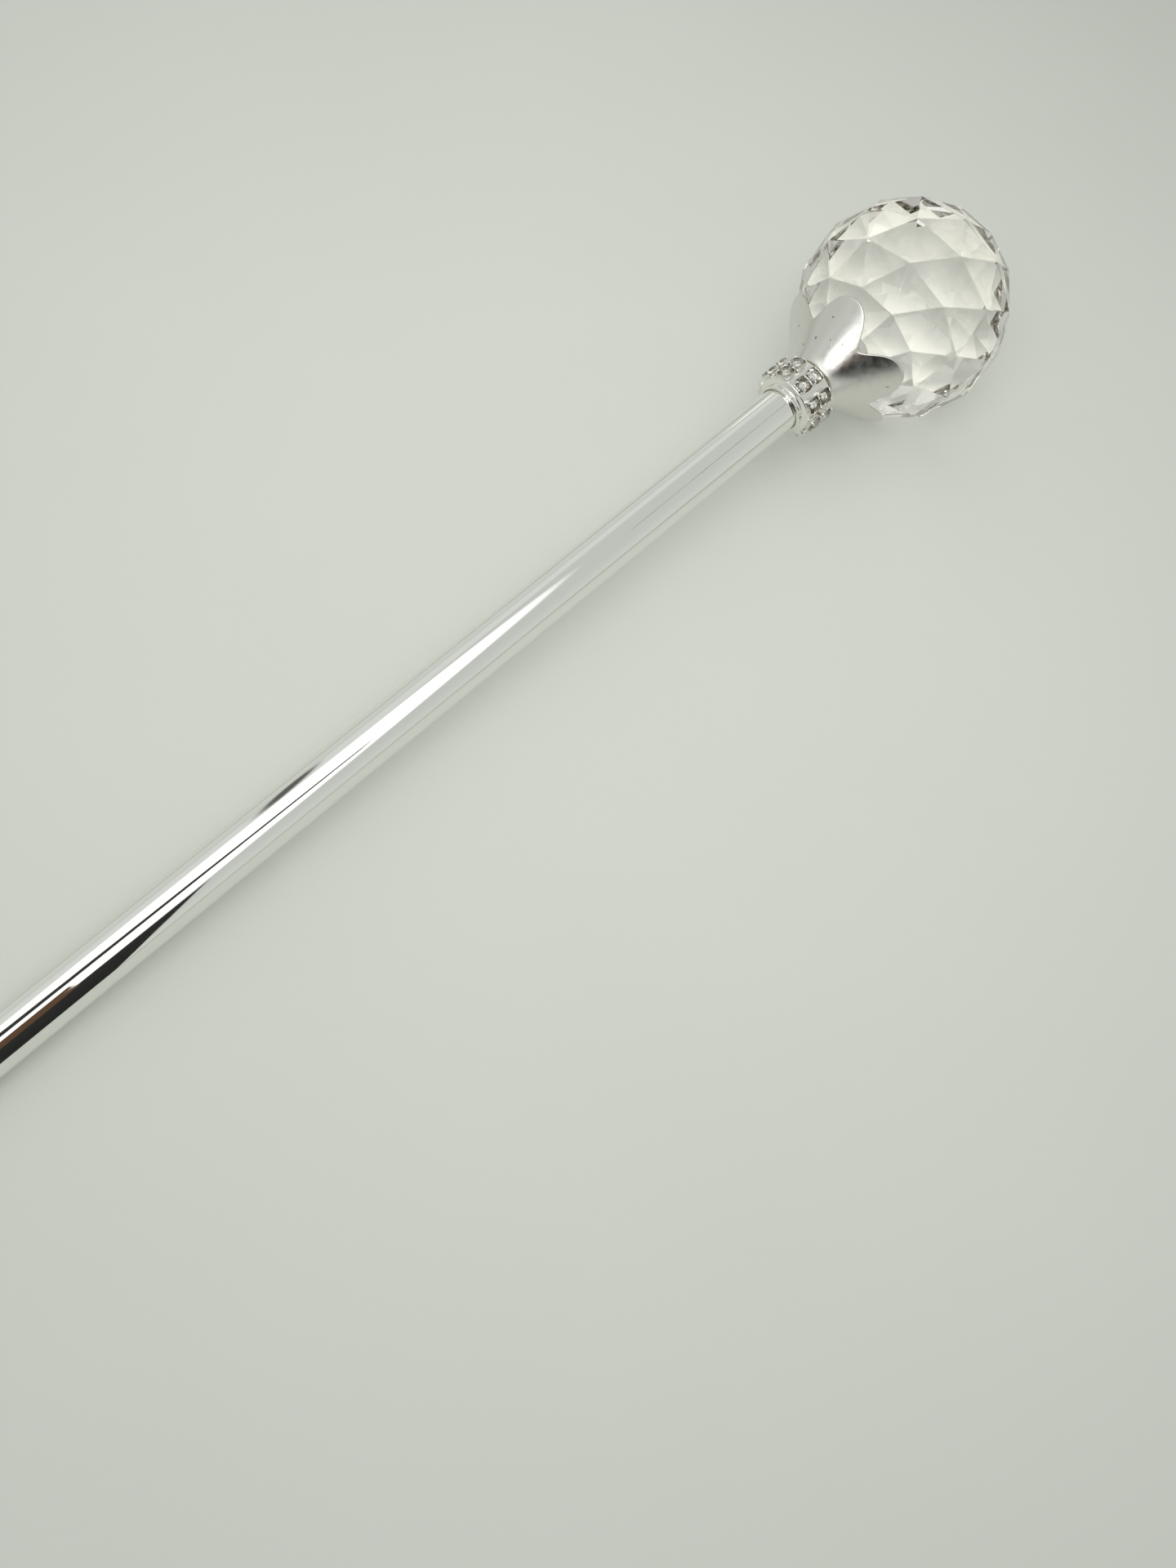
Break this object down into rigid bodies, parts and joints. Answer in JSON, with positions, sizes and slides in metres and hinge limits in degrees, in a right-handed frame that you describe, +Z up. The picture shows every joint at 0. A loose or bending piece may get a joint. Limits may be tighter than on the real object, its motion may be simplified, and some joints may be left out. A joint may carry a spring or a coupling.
{
  "type": "decorative hair pin",
  "caption": "Slim polished hair pin with a clear faceted ball in a petal cap, and a collar of small cut stones between cap and shaft.",
  "frame": {"origin": "on the surface that the pin lies on, under the middle of its length and width", "axes": "+X along the pin's length, from the tip towards the ball; +Z up from the surface; the pin's own axis rises 4.1 degrees towards the ball, as it does at rest"},
  "size_m": [0.204, 0.0294, 0.0294],
  "materials": {
    "clear_crystal": "polished facets",
    "clear_stone": "polished facets",
    "silver_plate": "satin silver plate with small pits",
    "polished_steel": "mirror polish",
    "aged_glue": "clear amber, slightly glossy",
    "brass": "turned",
    "plain_steel": "turned"
  },
  "bodies": {
    "root": {"crystal_ball": "clear_crystal", "petal_cap": "silver_plate", "glue_line": "aged_glue", "stone_collar": "silver_plate", "stone_ball_side_1": "clear_stone", "stone_ball_side_2": "clear_stone", "stone_ball_side_3": "clear_stone", "stone_ball_side_4": "clear_stone", "stone_ball_side_5": "clear_stone", "stone_ball_side_6": "clear_stone", "stone_ball_side_7": "clear_stone", "stone_ball_side_8": "clear_stone", "stone_ball_side_9": "clear_stone", "stone_shaft_side_1": "clear_stone", "stone_shaft_side_2": "clear_stone", "stone_shaft_side_3": "clear_stone", "stone_shaft_side_4": "clear_stone", "stone_shaft_side_5": "clear_stone", "stone_shaft_side_6": "clear_stone", "stone_shaft_side_7": "clear_stone", "stone_shaft_side_8": "clear_stone", "stone_shaft_side_9": "clear_stone", "shaft_tube": "polished_steel", "shaft_tip": "polished_steel", "tube_plug": "brass", "ball_stud": "plain_steel"}
  },
  "joints": []
}
